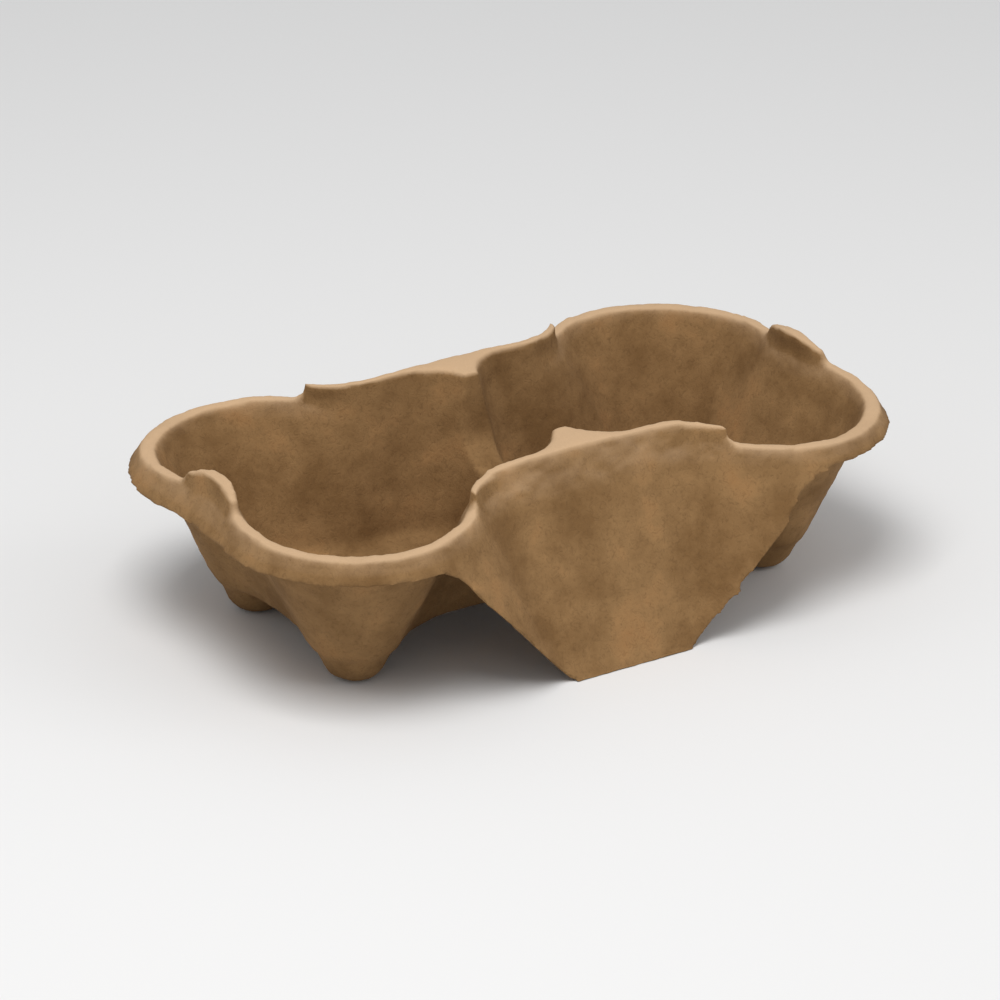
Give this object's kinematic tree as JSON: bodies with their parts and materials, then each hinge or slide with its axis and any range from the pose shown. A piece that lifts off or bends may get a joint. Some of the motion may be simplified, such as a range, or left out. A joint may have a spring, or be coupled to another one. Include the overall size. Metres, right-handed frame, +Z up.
{
  "type": "cardboard cup carrier",
  "caption": "Moulded pulp carrier with lobed pockets for takeaway cups, a flared skirt, side panels and hollow feet.",
  "frame": {"origin": "on the surface it stands on, under the middle of the divider", "axes": "+X from cup to cup, +Y across the carrier, +Z up"},
  "size_m": [0.2164, 0.1316, 0.0586],
  "materials": {
    "moulded_pulp": "unbleached brown moulded paper pulp, matt and fibrous"
  },
  "bodies": {
    "root": {"cup_carrier": "moulded_pulp"}
  },
  "joints": []
}
